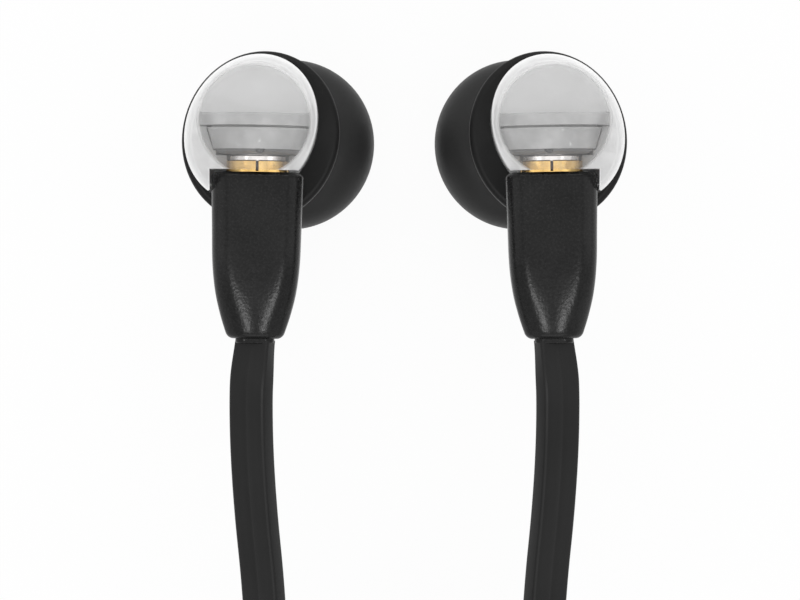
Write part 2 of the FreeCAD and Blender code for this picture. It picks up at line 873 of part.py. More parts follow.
def plug_pieces():
    """The 3.5 mm plug lying along +Y beside the coils."""
    x, y, z = plug_x, plug_start_y, plug_radius
    cover_end = relief_length + cover_length
    jack_end = cover_end + jack_length
    tip_start = jack_end - tip_length
    ring_end = tip_start - insulator_length
    ring_start = ring_end - ring_length
    sleeve_end = ring_start - insulator_length
    relief = plug_turned(relief_outline(), x, y, z)
    cover = plug_turned(cover_outline(), x, y, z)
    sleeve = plug_turned(
        (
            (jack_core_radius, cover_end),
            (jack_radius, cover_end),
            (jack_radius, sleeve_end),
            (jack_core_radius, sleeve_end),
        ),
        x, y, z,
    )
    ring = plug_turned(
        (
            (jack_core_radius, ring_start),
            (jack_radius, ring_start),
            (jack_radius, ring_end),
            (jack_core_radius, ring_end),
        ),
        x, y, z,
    )
    tip = plug_turned(
        (
            (0, tip_start),
            (jack_radius, tip_start),
            (jack_radius, tip_start + tip_shoulder),
            (tip_waist_radius, tip_start + tip_waist_at),
            (tip_ball_radius, tip_start + tip_ball_at),
            (tip_end_radius, jack_end),
            (0, jack_end),
        ),
        x, y, z,
    )
    core = plug_turned(
        (
            (0, cover_end),
            (jack_core_radius, cover_end),
            (jack_core_radius, sleeve_end),
            (jack_radius, sleeve_end),
            (jack_radius, ring_start),
            (jack_core_radius, ring_start),
            (jack_core_radius, ring_end),
            (jack_radius, ring_end),
            (jack_radius, tip_start),
            (0, tip_start),
        ),
        x, y, z,
    )
    return {
        "plug_relief": relief,
        "plug_cover": cover,
        "plug_sleeve": sleeve,
        "plug_ring": ring,
        "plug_tip": tip,
        "plug_insulator": core,
    }


def splitter():
    """The block where the two legs join the main cable, lying along the coils' left side."""
    width = splitter_width
    body = Part.makeBox(
        width,
        splitter_length,
        splitter_height,
        V(-main_coil_start_radius - width / 2, splitter_y - splitter_length / 2, 0),
    )
    uprights = [edge for edge in body.Edges if edge.BoundBox.ZLength > splitter_height - 0.01]
    body = body.makeFillet(splitter_round, uprights)
    rims = [edge for edge in body.Edges if edge.BoundBox.ZLength < 0.01]
    return body.makeFillet(splitter_rim, rims)


def reach_at(wires, centre_y, angle_deg):
    """The least and the most distance from a coil's centre of the turns that a tie goes round."""
    angle = math.radians(angle_deg)
    outward = V(math.cos(angle), math.sin(angle), 0)
    onward = V(-math.sin(angle), math.cos(angle), 0)
    found = []
    for wire in wires:
        for point in wire.discretize(Distance=0.5):
            arm = V(point.x, point.y - centre_y, 0)
            if abs(arm.dot(onward)) < tie_width / 2 + ribbon_thickness and arm.dot(outward) > 0:
                found.append(arm.dot(outward))
    return min(found) - ribbon_thickness / 2, max(found) + ribbon_thickness / 2


def tie(wires, centre_y, angle_deg):
    """A flat band round a coil's bundle of turns, set across it at an angle."""
    inner, outer = reach_at(wires, centre_y, angle_deg)
    low = coil_floor - tie_gap
    high = coil_floor + ribbon_width + layer_pitch + tie_gap
    start = inner - tie_gap
    end = outer + tie_gap
    t = tie_thickness
    corner = V(start - t, -tie_width / 2, low - t)
    outside = Part.makeBox(end - start + 2 * t, tie_width, high - low + 2 * t, corner)
    outside = round_band(outside, tie_width, tie_round)
    corner = V(start, -tie_width, low)
    window = Part.makeBox(end - start, 2 * tie_width, high - low, corner)
    window = round_band(window, 2 * tie_width, tie_round - t)
    band = outside.cut(window)
    band.rotate(V(0, 0, 0), V(0, 0, 1), angle_deg)
    band.translate(V(0, centre_y, 0))
    return band


def round_band(box, width, radius):
    """Rounds the four edges of a box that run along its width."""
    lengthwise = [edge for edge in box.Edges if edge.BoundBox.YLength > width - 0.01]
    return box.makeFillet(radius, lengthwise)


def cable_pieces():
    """The two legs, their shared coil, the splitter, the main cable's coil, the ties and the plug."""
    pieces = {}
    lengths = {}
    pair_pitch = 2 * legs_turn_pitch
    exit_angle = math.radians(180)
    wires = {}
    for side, extra, more_turns, route in (
        ("left", legs_turn_pitch, 0.0, left_leg_route),
        ("right", 0.0, right_leg_more_turns, right_leg_route),
    ):
        radius = legs_coil_exit_radius + extra
        stops = coil_stops(
            legs_coil_y, exit_angle, radius, pair_pitch, legs_coil_turns_in + more_turns,
            legs_coil_turns_in, legs_dip, False,
        )
        wire = coil_wire(stops)
        wires[side] = (wire, legs_coil_y)
        pieces["leg_coil_" + side] = ribbon_along("leg_coil_" + side, wire, stops[0][1], True)
        pieces["leg_" + side], run = ribbon_route("leg_" + side, route)
        z = coil_floor + ribbon_width / 2
        tail = ((-radius, legs_coil_y, z), (-radius, splitter_y + splitter_length / 2, z))
        pieces["leg_tail_" + side], tail_run = ribbon_route("leg_tail_" + side, tail)
        lengths["leg_" + side] = wire.Length + run + tail_run
        print("coil start", side, stops[0][0], "coil end", stops[-1][0])
        print("route's end", side, route[-1])
    print("least gap in the legs' coil", round(least_gap(wires), 3))
    stops = coil_stops(
        main_coil_y, math.radians(315), main_coil_exit_radius, turn_pitch, main_turns_in,
        main_turns_out, main_dip, True,
    )
    wire = coil_wire(stops)
    pieces["main_coil"] = ribbon_along("main_coil", wire, stops[0][1], True)
    print("least gap in the main coil", round(least_gap({"main": (wire, main_coil_y)}), 3))
    print("main coil start", stops[0][0], "end", stops[-1][0], stops[-1][1])
    z = coil_floor + ribbon_width / 2
    lead = (
        (-main_coil_start_radius, splitter_y - splitter_length / 2, z),
        (-main_coil_start_radius, main_coil_y, z),
    )
    pieces["main_lead"], lead_run = ribbon_route("main_lead", lead)
    pieces["main_tail"], tail_run = ribbon_route("main_tail", main_tail_route)
    lengths["main"] = wire.Length + lead_run + tail_run
    print("lengths", {name: round(length, 1) for name, length in lengths.items()})
    pieces["splitter"] = splitter()
    legs_wires = [wires[side][0] for side in ("left", "right")]
    pieces["tie_legs"] = tie(legs_wires, legs_coil_y, legs_tie_deg)
    pieces["tie_main"] = tie([wire], main_coil_y, main_tie_deg)
    pieces.update(plug_pieces())
    return pieces


def to_table(shape, height, mirrored):
    """Sets one earphone's piece on the table, on the picture's left or mirrored to its right."""
    moved = shape.copy()
    moved.rotate(V(0, 0, 0), V(0, 0, 1), -stem_lean_deg)
    moved.translate(V(-side_spacing_half, stem_y, height))
    return moved.mirror(V(0, 0, 0), V(1, 0, 0)) if mirrored else moved


def main():
    """Builds and saves every piece."""
    os.makedirs("parts", exist_ok=True)
    pieces = earphone_pieces()
    height = -pieces["ear_tip"].optimalBoundingBox().ZMin
    print("stem height", round(height, 4))
    for name, shape in pieces.items():
        print(name, "volume", round(shape.Volume, 3), shape.isValid(), len(shape.Solids))
        for side, mirrored in (("left", False), ("right", True)):
            save(name + "_" + side, to_table(shape, height, mirrored))
    lying = Part.makeCompound(list(parts_made.values()))
    print("box of the two earphones", lying.optimalBoundingBox())
    for name, shape in cable_pieces().items():
        print(name, "volume", round(shape.Volume, 3), shape.isValid(), len(shape.Solids))
        save(name, shape)
    whole = Part.makeCompound(list(parts_made.values()))
    print("nodes", len(parts_made), "box", whole.optimalBoundingBox())


main()
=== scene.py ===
import math

import bmesh
import bpy
from mathutils import Matrix, Vector


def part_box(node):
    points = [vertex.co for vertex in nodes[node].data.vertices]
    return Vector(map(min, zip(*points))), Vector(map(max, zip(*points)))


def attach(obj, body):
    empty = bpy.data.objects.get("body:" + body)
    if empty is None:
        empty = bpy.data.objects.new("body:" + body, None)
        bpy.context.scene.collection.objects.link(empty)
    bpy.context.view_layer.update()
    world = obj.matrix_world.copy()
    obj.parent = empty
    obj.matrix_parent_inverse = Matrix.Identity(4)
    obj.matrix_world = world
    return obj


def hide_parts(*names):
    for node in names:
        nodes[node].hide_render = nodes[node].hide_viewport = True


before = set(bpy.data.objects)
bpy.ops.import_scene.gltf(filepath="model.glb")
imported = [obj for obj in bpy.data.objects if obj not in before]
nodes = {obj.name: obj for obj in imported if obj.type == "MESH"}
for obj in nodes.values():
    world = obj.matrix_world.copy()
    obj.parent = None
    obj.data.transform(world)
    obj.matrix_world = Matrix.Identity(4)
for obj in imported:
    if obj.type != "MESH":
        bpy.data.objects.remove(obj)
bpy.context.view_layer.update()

# A pair of wired earphones on a white table, in metres: the picture's right is +X, its top is +Y
# and up is +Z. The earphones lie ear tips down, with their clear rear shells toward the viewer.

sides = ("left", "right")
mm = 0.001
merge_distance = 0.0001 * mm

# The picture: its size in pixels, the pixel on the pair's middle line at the stems' height, and
# how many pixels a millimetre has at the shells
picture_width = 800
picture_height = 600
middle_pixel = (404.5, 128.0)
pixels_per_mm = 13.4
camera_distance = 0.5
sensor_width = 36.0

# The stems: where each earphone's swivel axis lies, its height read off the centre pin
stem_low, stem_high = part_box("connector_pin_left")
stem_z = (stem_low.z + stem_high.z) / 2
stem_y = 5.173 * mm
stem_lean_deg = 0.94
side_spacing_half = 10.90 * mm

# Each earphone's own frame, in millimetres: where its nozzle's axis starts, and how it leans
nozzle_root = (0.08, -0.54, -5.6)
nozzle_lean_deg = 15.5
nozzle_swing_deg = -9.9
nozzle_end = 9.6

# The hollow in the clear shells: its middle, mirrored for the left one, and its radius
hollow_centre = Vector((11.160, 5.767)) * mm
hollow_radius = 4.33 * mm

# Ear tip: radii and distances along the nozzle's axis, in millimetres
tip_radius = 6.50
tip_wall = 0.6
tip_bore = 2.77
tip_core = 3.47
tip_core_start = 4.45
tip_back = 5.0
tip_back_radius = 4.6
tip_widest = 8.0
tip_front = 11.94
tip_front_radius = 3.6
tip_web = 10.64
tip_sound_hole = 1.9
tip_stop = 9.75
tip_lip_edge = 0.16
tip_front_edge = 0.35
tip_hole_edge = 0.3

# Where the connector's barrel starts, in millimetres along the stem
barrel_top = -2.47

# Boot: its top, and its width and depth at distances from it, in millimetres
boot_top = -3.30
boot_stations = (
    (0.0, 6.86, 4.74),
    (4.2, 6.66, 4.66),
    (6.9, 6.50, 4.56),
    (9.0, 6.02, 4.34),
    (10.8, 5.16, 3.94),
    (12.42, 4.10, 3.40),
)
boot_corner_share = 0.33
boot_top_edge = 0.45
boot_end_edge = 0.42
boot_crown = 0.40
boot_crown_from = 6.0
boot_lip_width = 2.9
boot_lip_depth = 2.3
boot_lip_length = 0.35
boot_lip_edge = 0.1
boot_pocket_radius = 1.85
boot_pocket_depth = 0.95

# Gasket under the socket, by distance along the stem's axis, and the stud at its front, in
# millimetres
gasket_radius = 3.15
gasket_bore = 1.56
gasket_top = -1.60
gasket_rim_low = -1.70
gasket_low = -2.02
stud_radius = 0.36
stud_edge = 0.12
stud_at = (0.2, -1.58, 2.80)
stud_reach = 0.42

# Screen in the nozzle's end, in millimetres
screen_radius = 2.1
screen_rim = 0.2
screen_pitch = 0.28
screen_wire = 0.055
screen_lift = 1.1
screen_depth = 0.24
screen_edge = 0.05

# Flat cable
ribbon_width = 3.25 * mm
ribbon_thickness = 1.45 * mm
ribbon_corner = 0.28 * mm
neck_share = 0.86
neck_run = 3.6 * mm
neck_sunk = 0.35 * mm
groove_depth = 0.035 * mm
groove_half = 0.22 * mm
groove_points = (0.0, 0.5, 1.0, 2.4)
face_point_share = 0.62

# Straps round the coils: where each crosses its coil, and its sizes, in millimetres
strap_places = {"tie_legs": ("legs", 225.0), "tie_main": ("main", 90.0)}
strap_thickness = 0.42
strap_hem = 0.55
strap_hem_rise = 0.05
strap_hem_slope = 1.3
strap_edge = 0.12
strap_bend = 0.66
strap_lap_gap = 0.03
strap_lap_share = 0.80
strap_tongue = 1.4
strap_tongue_share = 0.45
strap_step = 0.25
weave_pitch = 0.36
stitch_inset = 0.8
stitch_rows = (1.5, 2.3)
stitch_pitch = 0.46
stitch_length = 0.36
stitch_thickness = 0.13

# Put-away coils, as they are wound on the table
turn_pitch = 1.85 * mm
legs_turn_pitch = 1.9 * mm
layer_pitch = 3.55 * mm
coil_floor = 0.6 * mm
low_layer = coil_floor + 1.55 * mm
high_layer = low_layer + layer_pitch
tuck_room = 2.0 * mm
points_per_turn = 28
legs_coil_y = -59.2 * mm
legs_coil_exit_radius = 17.83 * mm
legs_coil_turns = 1.25
legs_dip = 0.8 * mm
right_more_turns = 0.20
main_coil_y = -100.9 * mm
main_coil_start_radius = legs_coil_exit_radius + legs_turn_pitch / 2
main_turns_in = 4.0
main_turns_out = 3.875
main_dip = 0.6 * mm
main_exit_deg = 315

# Where the splitter lies
splitter_low, splitter_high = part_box("splitter")

# How far the flat cable's wide face is turned from the viewer: at the boot, along the stretch in
# view, and on edge where it is wound
exit_roll = 25.0
view_roll = 36.0
edge_roll = 90.0
view_roll_from = 4.0 * mm
turn_over_from = 24.0 * mm
turn_over_to = 46.0 * mm

# How finely the round forms are divided
ribbon_corner_steps = 5
bend_steps = 5
tip_back_steps = 20
tip_front_steps = 24
boot_corner_steps = 8
boot_flat_steps = 9
boot_edge_steps = 6
boot_length_steps = 40
gasket_steps = 12
stud_steps = 6
lathe_segments = 128
rim_segments = 72
stud_segments = 32
wire_sides = 6
points_per_wire_pitch = 8

# The table under the earphones, how much of its look is its own white, the rest being lit and
# shadowed, and how strong the even light from all round is
table_radius = 3.0
table_segments = 96
table_drop = 0.02 * mm
table_glow = 0.94
soft_light = 0.66

# Lamps, which all face one point: place, width, height, power, and whether the lamp is left out
# of diffuse light, so that it gives highlights alone
lamp_aim = (0.0, -0.01, 0.01)
lamps = {
    "overhead": ((0.0, 0.05, 0.90), 0.9, 0.7, 0.6, False),
    "top_box": ((0.0, 0.62, 0.42), 0.7, 0.35, 1.95, False),
    "low_box": ((0.0, -0.66, 0.40), 0.7, 0.30, 1.3, False),
    "left_box": ((-0.60, 0.02, 0.30), 0.22, 0.6, 0.32, False),
    "right_box": ((0.60, 0.02, 0.30), 0.22, 0.6, 0.32, False),
    "left_key": ((-0.24, -0.29, 0.75), 0.06, 0.06, 1.3, True),
    "right_key": ((0.24, -0.29, 0.75), 0.06, 0.06, 1.3, True),
}

# Routes of the free stretches, in metres; the legs start alike, mirrored
leg_route_start = (
    (0.011163, -0.010895, 0.018066),
    (0.01136, -0.01270, 0.01802),
    (0.01148, -0.01500, 0.01765),
    (0.01143, -0.01920, 0.01640),
    (0.01115, -0.02400, 0.01420),
    (0.01075, -0.02820, 0.01240),
)
left_leg_route = tuple((-x, y, z) for x, y, z in leg_route_start) + (
    (-0.01050, -0.03240, 0.01060),
    (-0.01190, -0.03740, 0.00890),
    (-0.01500, -0.04220, 0.00750),
    (-0.01810, -0.04750, 0.00645),
    (-0.01973, -0.05330, 0.00580),
)
right_leg_route = leg_route_start + (
    (0.01050, -0.03233, 0.01060),
    (0.00905, -0.03620, 0.00920),
    (0.00618, -0.03900, 0.00780),
    (0.00243, -0.04050, 0.00670),
    (-0.00190, -0.04050, 0.00590),
)
main_tail_route = (
    (0.01664, -0.11061, 0.00564),
    (0.02090, -0.10630, 0.00450),
    (0.02300, -0.10170, 0.00315),
    (0.02320, -0.09700, 0.00290),
)


class Wire:
    """One node's output, with the operators of node maths."""

    def __init__(self, net, socket):
        self.net = net
        self.socket = socket

    def joined(self, operation, first, second):
        return self.net.math(operation, first, second)

    def __add__(self, other):
        return self.joined("ADD", self, other)

    def __sub__(self, other):
        return self.joined("SUBTRACT", self, other)

    def __mul__(self, other):
        return self.joined("MULTIPLY", self, other)

    def __truediv__(self, other):
        return self.joined("DIVIDE", self, other)

    def __rsub__(self, other):
        return self.joined("SUBTRACT", other, self)

    __radd__ = __add__
    __rmul__ = __mul__


class Net:
    """A node tree: nodes are added by type, socket values and settings."""

    def __init__(self, tree):
        self.tree = tree

    def add(self, kind, values=None, output=0, **settings):
        node = self.tree.nodes.new(kind)
        for name, value in settings.items():
            if name == "stops":
                self.set_stops(node.color_ramp, value)
            else:
                setattr(node, name, value)
        for key, value in (values or {}).items():
            if isinstance(value, Wire):
                self.tree.links.new(value.socket, node.inputs[key])
            else:
                node.inputs[key].default_value = value
        return Wire(self, node.outputs[output])

    def math(self, operation, first, second=0.0):
        return self.add("ShaderNodeMath", {0: first, 1: second}, operation=operation)

    def vector(self, x=0.0, y=0.0, z=0.0):
        return self.add("ShaderNodeCombineXYZ", {0: x, 1: y, 2: z})

    def blend(self, share, first, second):
        return self.add("ShaderNodeMixShader", {0: share, 1: first, 2: second})

    def parts_of(self, vector):
        """The three numbers of a vector."""
        split = self.add("ShaderNodeSeparateXYZ", {0: vector}).socket.node
        return [Wire(self, output) for output in split.outputs]

    def set_stops(self, ramp, stops):
        while len(ramp.elements) < len(stops):
            ramp.elements.new(1.0)
        for element, (place, colour) in zip(ramp.elements, stops):
            element.position = place
            element.color = colour


class Finish(Net):
    """The nodes of one material."""

    def __init__(self, name):
        self.material = bpy.data.materials.new(name)
        self.material.use_nodes = True
        super().__init__(self.material.node_tree)
        self.tree.nodes.clear()
        self.end = self.tree.nodes.new("ShaderNodeOutputMaterial")

    def place(self):
        """The object's own coordinates, in metres."""
        return self.add("ShaderNodeTexCoord", output="Object")

    def noise(self, scale, detail=2.0, roughness=0.5):
        values = {"Scale": scale, "Detail": detail, "Roughness": roughness}
        return self.add("ShaderNodeTexNoise", {"Vector": self.place(), **values})

    def ramp(self, value, stops):
        return self.add("ShaderNodeValToRGB", {"Fac": value}, stops=stops)

    def greys(self, value, start, dark, end, light):
        """Greys from dark where the value is at its start to light at its end."""
        return self.ramp(value, ((start, grey(dark)), (end, grey(light))))

    def mix(self, factor, first, second):
        values = {0: factor, 6: first, 7: second}
        return self.add("ShaderNodeMix", values, 2, data_type="RGBA")

    def bump(self, height, strength, distance):
        values = {"Height": height, "Strength": strength, "Distance": distance}
        return self.add("ShaderNodeBump", values)

    def principled(self, **values):
        """A principled shader from plain-word socket names."""
        named = {key.replace("_", " "): value for key, value in values.items()}
        return self.add("ShaderNodeBsdfPrincipled", named)

    def output(self, shader):
        self.tree.links.new(shader.socket, self.end.inputs["Surface"])
        return self.material

    def surface(self, **values):
        return self.output(self.principled(**values))


def grey(level):
    return (level, level, level, 1.0)


def clear_plastic():
    """Thin clear plastic: seen through where it faces the viewer, and painted pale where it turns away
    and where its wall is thick, outside the hollow, as a painted reflection of the white round it."""
    finish = Finish("clear_moulded_plastic")
    haze = finish.noise(700.0, 3.0)
    # Painted reflection: the pale skin's share grows where the surface turns away from the viewer
    facing = finish.add("ShaderNodeLayerWeight", {"Blend": 0.5}, output="Facing")
    stops = ((0.0, grey(0.04)), (0.5, grey(0.10)), (0.85, grey(0.46)), (1.0, grey(0.90)))
    share = finish.ramp(facing, stops)
    x, y = finish.parts_of(finish.place())[:2]
    across = finish.math("ABSOLUTE", x) - hollow_centre.x
    along = y - hollow_centre.y
    away = finish.math("SQRT", across * across + along * along)
    # Painted reflection: pale outside the hollow's radius, where the thick wall shows the white round it
    thick = finish.greys(away * (1 / hollow_radius), 0.94, 0.0, 1.02, 0.58)
    veil_and_painted_rim = finish.principled(
        Base_Color=finish.greys(haze, 0.3, 0.90, 0.7, 0.94),
        Roughness=haze * 0.06 + 0.05,
        Specular_IOR_Level=0.34,
    )
    through = finish.add("ShaderNodeBsdfTransparent", {"Color": grey(0.98)})
    return finish.output(finish.blend(share + thick, through, veil_and_painted_rim))


def pale_plastic():
    """Pale moulded plastic, a little cloudy."""
    finish = Finish("pale_moulded_plastic")
    cloud = finish.noise(420.0, 4.0)
    colour = finish.greys(cloud, 0.3, 0.74, 0.7, 0.80)
    return finish.surface(
        Base_Color=colour,
        Roughness=cloud * 0.15 + 0.40,
        Specular_IOR_Level=0.15,
        Normal=finish.bump(cloud, 0.2, 0.0001),
    )


def black_plastic(
    name, dark, light, roughness, grain_scale, grain_depth, strength=0.4, shine=0.14, cloud_scale=260.0,
):
    """Satin black plastic with a fine grain."""
    finish = Finish(name)
    grain = finish.noise(grain_scale, 3.0, 0.6)
    cloud = finish.noise(cloud_scale, 3.0)
    return finish.surface(
        Base_Color=finish.greys(cloud, 0.3, dark, 0.75, light),
        Roughness=cloud * 0.12 + roughness,
        Specular_IOR_Level=shine,
        Normal=finish.bump(grain, strength, grain_depth),
    )


def pebbled_black():
    """The boot's matte, finely pebbled moulding."""
    finish = Finish("pebbled_boot_plastic")
    values = {"Vector": finish.place(), "Scale": 4600.0, "Smoothness": 0.6}
    pebble = finish.add("ShaderNodeTexVoronoi", values, "Distance", feature="SMOOTH_F1")
    grit = finish.noise(5200.0, 3.0, 0.65)
    cloud = finish.noise(300.0, 3.0)
    colour = finish.greys(cloud * 0.4 + grit * 0.6, 0.38, 0.0045, 0.60, 0.0135)
    return finish.surface(
        Base_Color=colour,
        Roughness=grit * 0.14 + 0.19,
        Specular_IOR_Level=0.16,
        Normal=finish.bump(pebble * 0.7 + grit * 0.6, 0.35, 0.00003),
    )


def silicone():
    """Satin black silicone with a fine dust on it."""
    finish = Finish("satin_black_silicone")
    dust = finish.noise(2200.0, 4.0, 0.65)
    cloud = finish.noise(180.0, 3.0)
    colour = finish.greys(cloud, 0.3, 0.021, 0.75, 0.027)
    return finish.surface(
        Base_Color=colour,
        Roughness=dust * 0.16 + 0.40,
        Specular_IOR_Level=0.16,
        Sheen_Weight=0.02,
        Sheen_Roughness=0.4,
        Normal=finish.bump(dust, 0.4, 0.00004),
    )


def woven_black():
    """The straps' weave, which follows the strap by its own run and width."""
    finish = Finish("black_webbing")
    along = finish.add("ShaderNodeAttribute", output="Vector", attribute_name="along")
    run, across = finish.parts_of(along)[:2]
    turn = 2 * math.pi / (weave_pitch * mm)
    ribs = finish.math("SINE", run * turn) * finish.math("SINE", across * turn)
    fuzz = finish.noise(4200.0, 3.0, 0.7)
    # The tone follows the weave's height, darker where it is low: painted shade in the weave's hollows,
    # over random fuzz
    colour = finish.greys(ribs * 0.25 + fuzz * 0.5 + 0.25, 0.3, 0.010, 0.7, 0.035)
    return finish.surface(
        Base_Color=colour,
        Roughness=fuzz * 0.2 + 0.6,
        Specular_IOR_Level=0.25,
        Sheen_Weight=0.15,
        Sheen_Roughness=0.5,
        Normal=finish.bump(ribs * 0.5 + fuzz * 0.3, 0.7, 0.0001),
    )


def plated(finish, colour, roughness):
    """Metal of a colour, with fine turning marks."""
    marks = finish.noise(9000.0, 2.0)
    return finish.surface(
        Base_Color=colour,
        Metallic=1.0,
        Roughness=marks * 0.10 + roughness,
        Normal=finish.bump(marks, 0.15, 0.00002),
    )


def bright_metal(name, light, dark, roughness):
    """Plated metal, a little uneven."""
    finish = Finish(name)
    return plated(finish, finish.mix(finish.noise(1400.0, 3.0), dark, light), roughness)


def plated_sleeve():
    """Silver plate, with painted shade where the sleeve goes into the barrel: dull and dark there."""
    finish = Finish("silver_plate")
    y = finish.parts_of(finish.place())[1]
    # Painted shade: dark and dull below the barrel's top, where the sleeve goes in
    painted_barrel_shade = finish.math("LESS_THAN", y, stem_y + barrel_top * mm)
    cloud = finish.noise(1400.0, 3.0)
    bright = finish.mix(cloud, (0.80, 0.76, 0.74, 1), (0.93, 0.90, 0.88, 1))
    colour = finish.mix(painted_barrel_shade, bright, (0.05, 0.025, 0.012, 1))
    return plated(finish, colour, painted_barrel_shade * 0.3 + 0.14)


def plain_rubber(name, level, roughness):
    """An even moulding of one grey, a little cloudy."""
    finish = Finish(name)
    cloud = finish.noise(700.0, 3.0)
    colour = finish.greys(cloud, 0.3, level * 0.85, 0.75, level * 1.15)
    return finish.surface(
        Base_Color=colour,
        Roughness=cloud * 0.1 + roughness,
        Normal=finish.bump(cloud, 0.2, 0.00005),
    )


# What each slot looks like
finishes = {
    "clear_shell": clear_plastic(),
    "pale_plate": pale_plastic(),
    "housing_black": black_plastic("satin_housing_plastic", 0.0068, 0.0096, 0.39, 6000.0, 0.00002),
    "steel_mesh": bright_metal("screen_steel", grey(0.62), grey(0.45), 0.25),
    "tip_silicone": silicone(),
    "socket_grey": plain_rubber("socket_grey_plastic", 0.46, 0.38),
    "gasket_rubber": plain_rubber("gasket_grey_rubber", 0.14, 0.5),
    "silver_metal": plated_sleeve(),
    "gold_metal": bright_metal("gold_plate", (0.98, 0.71, 0.29, 1), (0.52, 0.28, 0.07, 1), 0.18),
    # The insulator is near-black: painted shade for the dark slot in the gold barrel
    "insulator_white": plain_rubber("connector_insulator", 0.05, 0.4),
    "dark_metal": bright_metal("dark_pin_metal", grey(0.20), grey(0.12), 0.3),
    "boot_black": pebbled_black(),
    "driver_steel": bright_metal("driver_steel", grey(0.55), grey(0.42), 0.32),
    "magnet_metal": bright_metal("magnet_nickel", grey(0.60), grey(0.48), 0.22),
    "copper_wire": bright_metal("copper_wire", (0.88, 0.42, 0.24, 1), (0.66, 0.27, 0.13, 1), 0.25),
    "film": plain_rubber("amber_film", 0.35, 0.2),
    "cable_black": black_plastic(
        "cable_skin", 0.0050, 0.0078, 0.36, 3600.0, 0.00003, strength=0.25, shine=0.20, cloud_scale=240.0,
    ),
    "splitter_black": black_plastic("splitter_plastic", 0.0119, 0.0168, 0.36, 5000.0, 0.00003),
    "tie_black": woven_black(),
    "relief_black": plain_rubber("relief_rubber", 0.022, 0.5),
    "cover_black": black_plastic("cover_plastic", 0.0119, 0.0168, 0.30, 6000.0, 0.00002),
    "ring_black": plain_rubber("black_insulator", 0.02, 0.4),
}

# The slots of the CAD nodes that are shown, by their names without a side
slot_of_node = {
    "rear_shell": "clear_shell",
    "back_plate": "pale_plate",
    "front_housing": "housing_black",
    "socket_flange": "socket_grey",
    "socket_cup": "socket_grey",
    "connector_sleeve": "silver_metal",
    "connector_barrel": "gold_metal",
    "connector_insulator": "insulator_white",
    "connector_pin": "dark_metal",
    "driver_frame": "driver_steel",
    "driver_yoke": "driver_steel",
    "driver_magnet": "magnet_metal",
    "voice_coil": "copper_wire",
    "diaphragm": "film",
    "splitter": "splitter_black",
    "plug_relief": "relief_black",
    "plug_cover": "cover_black",
    "plug_sleeve": "gold_metal",
    "plug_ring": "gold_metal",
    "plug_tip": "gold_metal",
    "plug_insulator": "ring_black",
}


def dress_nodes():
    """Gives every shown CAD node its finish."""
    for name, node in nodes.items():
        plain = name.removesuffix("_left").removesuffix("_right")
        if plain in slot_of_node:
            dress(node.data, finishes[slot_of_node[plain]])
        if plain == "rear_shell":
            node.visible_shadow = False


def in_scene(name, data):
    """A new object of the scene, at the origin."""
    made = bpy.data.objects.new(name, data)
    bpy.context.scene.collection.objects.link(made)
    return made


def dress(mesh, material):
    """Gives a mesh one finish."""
    mesh.materials.clear()
    mesh.materials.append(material)


def add_piece(name, mesh, slot, body, *replaced):
    """A piece that rides a body in its slot's finish, and the nodes that it stands for."""
    dress(mesh, finishes[slot])
    piece = in_scene(name, mesh)
    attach(piece, body)
    if replaced:
        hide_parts(*replaced)
    return piece


def mesh_of(name, shape, sharp_deg):
    """The mesh of a closed shape, its faces outward and smooth apart from its sharp edges."""
    bmesh.ops.recalc_face_normals(shape, faces=shape.faces)
    mesh = bpy.data.meshes.new(name)
    shape.to_mesh(mesh)
    shape.free()
    mesh.shade_smooth()
    mesh.set_sharp_from_angle(angle=math.radians(sharp_deg))
    return mesh


def coil_points(centre_y, exit_angle, exit_radius, pitch, turns_in, turns_out, dip, low_first):
    """A coil that spirals in on one layer, changes layer in half a turn and spirals out again."""
    growth = pitch / (2 * math.pi)
    inner = exit_radius - pitch * turns_out
    tuck = pitch / 2 - turn_pitch + tuck_room
    climb_end = exit_angle - 2 * math.pi * turns_out
    climb_start = climb_end - math.pi
    start = climb_start - 2 * math.pi * turns_in
    first_z, last_z = (low_layer, high_layer) if low_first else (high_layer, low_layer)
    count = round((exit_angle - start) / (2 * math.pi) * points_per_turn)
    points = []
    for i in range(count + 1):
        angle = start + (exit_angle - start) * i / count
        past = max(climb_start - angle, angle - climb_end, 0.0)
        tucked = 1 - ease(past / (math.pi / 2))
        climbed = ease((angle - climb_start) / math.pi)
        hollow = math.sin(math.pi * min(max((angle - climb_start) / math.pi, 0.0), 1.0)) ** 2
        radius = inner + growth * past - tuck * tucked - dip * hollow
        z = first_z + (last_z - first_z) * climbed
        points.append((radius * math.cos(angle), centre_y + radius * math.sin(angle), z))
    return points


def ease(share):
    """A smooth step from 0 to 1."""
    share = min(max(share, 0.0), 1.0)
    return share * share * (3 - 2 * share)


def quarter_turn(steps):
    """Angles that divide a quarter turn evenly, its ends with them."""
    return [math.pi / 2 * i / steps for i in range(steps + 1)]


def smooth_line(points, steps=6):
    """The points down a smooth curve that has these as its control points."""
    curve = bpy.data.curves.new("route", "CURVE")
    curve.dimensions = "3D"
    curve.resolution_u = steps
    spline = curve.splines.new("NURBS")
    spline.points.add(len(points) - 1)
    for knot, place in zip(spline.points, points):
        knot.co = (place[0], place[1], place[2], 1.0)
    spline.order_u = 3
    spline.use_endpoint_u = True
    carrier = bpy.data.objects.new("route", curve)
    mesh = bpy.data.meshes.new_from_object(carrier)
    line = [vertex.co.copy() for vertex in mesh.vertices]
    bpy.data.objects.remove(carrier)
    bpy.data.curves.remove(curve)
    bpy.data.meshes.remove(mesh)
    return line


def straight_run(x, start_y, end_y):
    """Four points on the low layer, straight from one y to another."""
    return [(x, start_y + (end_y - start_y) * i / 3, low_layer) for i in range(4)]


def followed(line):
    """Each point of a line, the way on there, and how far along the line it lies."""
    run = 0.0
    for i, place in enumerate(line):
        before = line[max(i - 1, 0)]
        after = line[min(i + 1, len(line) - 1)]
        run += (place - before).length
        yield place, (after - before).normalized(), run


